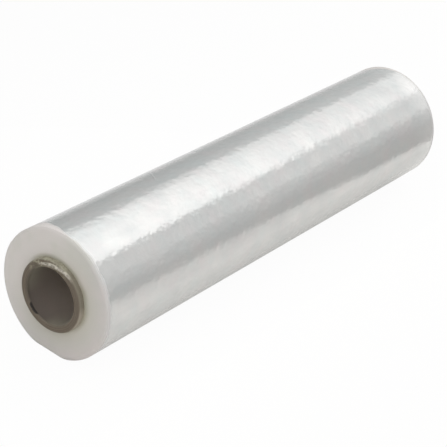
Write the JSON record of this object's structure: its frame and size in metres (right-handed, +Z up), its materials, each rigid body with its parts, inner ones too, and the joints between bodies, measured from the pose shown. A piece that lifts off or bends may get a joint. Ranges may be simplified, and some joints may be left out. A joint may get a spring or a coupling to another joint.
{
  "type": "roll of shrink film",
  "caption": "Clear plastic shrink film wound tight on a cardboard core that stands out a little at both ends, lying on its side on a small flat.",
  "frame": {"origin": "centre of the underside: midway along the roll, straight below its axis, on the surface that it lies on", "axes": "+X along the roll's axis, from the end nearer to the camera towards the far one; +Z up; +Y towards the back, where the film's free end lies"},
  "size_m": [0.511, 0.115, 0.1137],
  "materials": {
    "film": "many turns of clear glossy film, milky silver-white where they lie on each other",
    "cardboard": "matte grey-brown cardboard, spiral wound, with cut plies on its rims"
  },
  "bodies": {
    "root": {"film_roll": "film", "core": "cardboard"}
  },
  "joints": []
}
